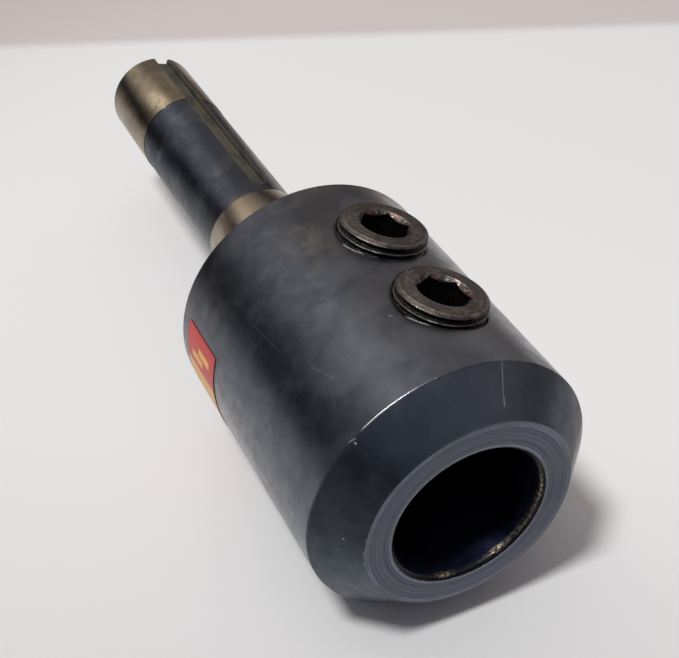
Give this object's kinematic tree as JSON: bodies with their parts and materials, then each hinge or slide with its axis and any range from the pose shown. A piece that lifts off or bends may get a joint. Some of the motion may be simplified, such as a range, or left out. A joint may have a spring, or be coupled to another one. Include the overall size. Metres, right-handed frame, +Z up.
{
  "type": "end mill holder",
  "caption": "Side-lock end mill holder: chamfered cylindrical head with a tool bore and radial set screws, on a tapered R8 spindle shank with keyway and drawbar hole.",
  "frame": {"origin": "centre of the tool bore's mouth, in the plane of the nose face", "axes": "Y along the holder's axis, -Y out of the nose and +Y out of the shank's end; +Z up as the holder lies on its side, with the side screws 15.3 degrees from +Z towards +X"},
  "size_m": [0.0605, 0.1808, 0.0637],
  "materials": {
    "body_steel": "black oxide, satin; the shank's ground lands and taper are brown",
    "screw_steel": "dark bronze oxide",
    "label_vinyl": "red vinyl with a plain yellow pattern"
  },
  "bodies": {
    "holder": {"holder_body": "body_steel", "label": "label_vinyl"},
    "set_screw_front": {"set_screw_front": "screw_steel"},
    "set_screw_rear": {"set_screw_rear": "screw_steel"}
  },
  "joints": [
    {"name": "set_screw_front_travel", "type": "slide", "parent": "holder", "child": "set_screw_front", "axis": [0.2639, 0, 0.9646], "range_m": [-0.00268, 0.0127]},
    {"name": "set_screw_rear_travel", "type": "slide", "parent": "holder", "child": "set_screw_rear", "axis": [0.2639, 0, 0.9646], "range_m": [-0.00294, 0.0127]}
  ]
}
